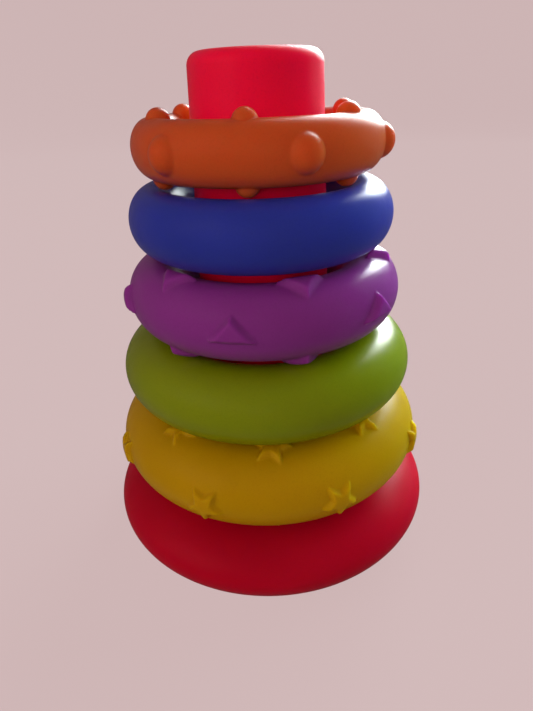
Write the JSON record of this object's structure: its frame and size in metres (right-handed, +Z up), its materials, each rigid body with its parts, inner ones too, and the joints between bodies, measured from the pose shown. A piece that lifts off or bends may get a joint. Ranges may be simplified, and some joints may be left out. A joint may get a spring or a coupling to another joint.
{
  "type": "stacking ring toy",
  "caption": "Tapered red post on a domed round base, with hollow translucent rings that shrink upward; some rings carry raised domes, triangles or stars.",
  "frame": {"origin": "on the table, under the middle of the post", "axes": "+Z up along the post; -Y is the side first facing the viewer"},
  "size_m": [0.14, 0.14, 0.1906],
  "materials": {
    "base_shell": "satin moulded plastic, deep red",
    "base_cover": "matt moulded plastic, deep red",
    "cover_screws": "zinc-plated steel",
    "post": "satin moulded plastic, bright red",
    "ring_yellow": "translucent amber yellow plastic, satin",
    "ring_green": "translucent olive green plastic, satin",
    "ring_purple": "translucent purple plastic, satin",
    "ring_blue": "translucent deep blue plastic, satin",
    "ring_orange": "translucent orange plastic, satin"
  },
  "bodies": {
    "base": {"base_shell": "base_shell", "base_cover": "base_cover", "cover_screws": "cover_screws", "post": "post"},
    "yellow": {"ring_yellow": "ring_yellow"},
    "green": {"ring_green": "ring_green"},
    "purple": {"ring_purple": "ring_purple"},
    "blue": {"ring_blue": "ring_blue"},
    "orange": {"ring_orange": "ring_orange"}
  },
  "joints": [
    {"name": "lift_yellow", "type": "slide", "parent": "base", "child": "yellow", "axis": [0, 0, 1], "range_m": [0, 0.175]},
    {"name": "lift_green", "type": "slide", "parent": "yellow", "child": "green", "axis": [0, 0, 1], "range_m": [0, 0.14]},
    {"name": "lift_purple", "type": "slide", "parent": "green", "child": "purple", "axis": [0, 0, 1], "range_m": [0, 0.11]},
    {"name": "lift_blue", "type": "slide", "parent": "purple", "child": "blue", "axis": [0, 0, 1], "range_m": [0, 0.08]},
    {"name": "lift_orange", "type": "slide", "parent": "blue", "child": "orange", "axis": [0, 0, 1], "range_m": [0, 0.055]}
  ]
}
